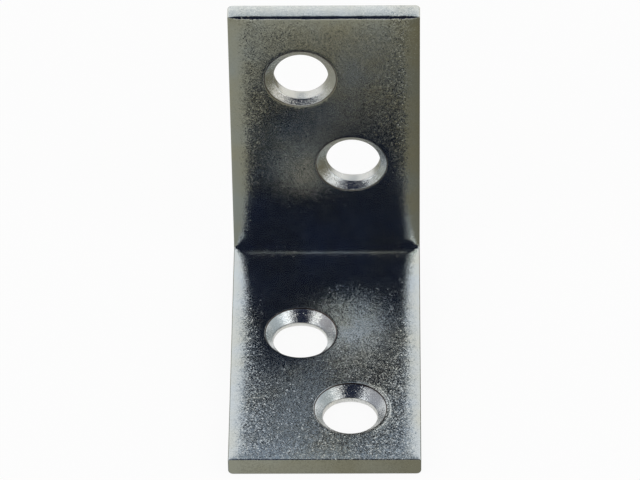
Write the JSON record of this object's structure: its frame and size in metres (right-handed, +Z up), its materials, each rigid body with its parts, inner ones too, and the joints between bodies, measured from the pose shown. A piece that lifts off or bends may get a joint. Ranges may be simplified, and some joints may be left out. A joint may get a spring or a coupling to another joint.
{
  "type": "angle bracket",
  "caption": "Folded steel angle bracket with staggered countersunk screw holes in each leg, for an inside corner of furniture or timber.",
  "frame": {"origin": "middle of the underside of the base leg, where the bracket stands", "axes": "+X across the strip, +Y out of the wall leg's back face, +Z up along the wall leg"},
  "size_m": [0.0174, 0.03, 0.03],
  "materials": {
    "zinc_plate": "satin zinc plate, clear passivated with faint blue and yellow tints"
  },
  "bodies": {
    "root": {"bracket": "zinc_plate"}
  },
  "joints": []
}
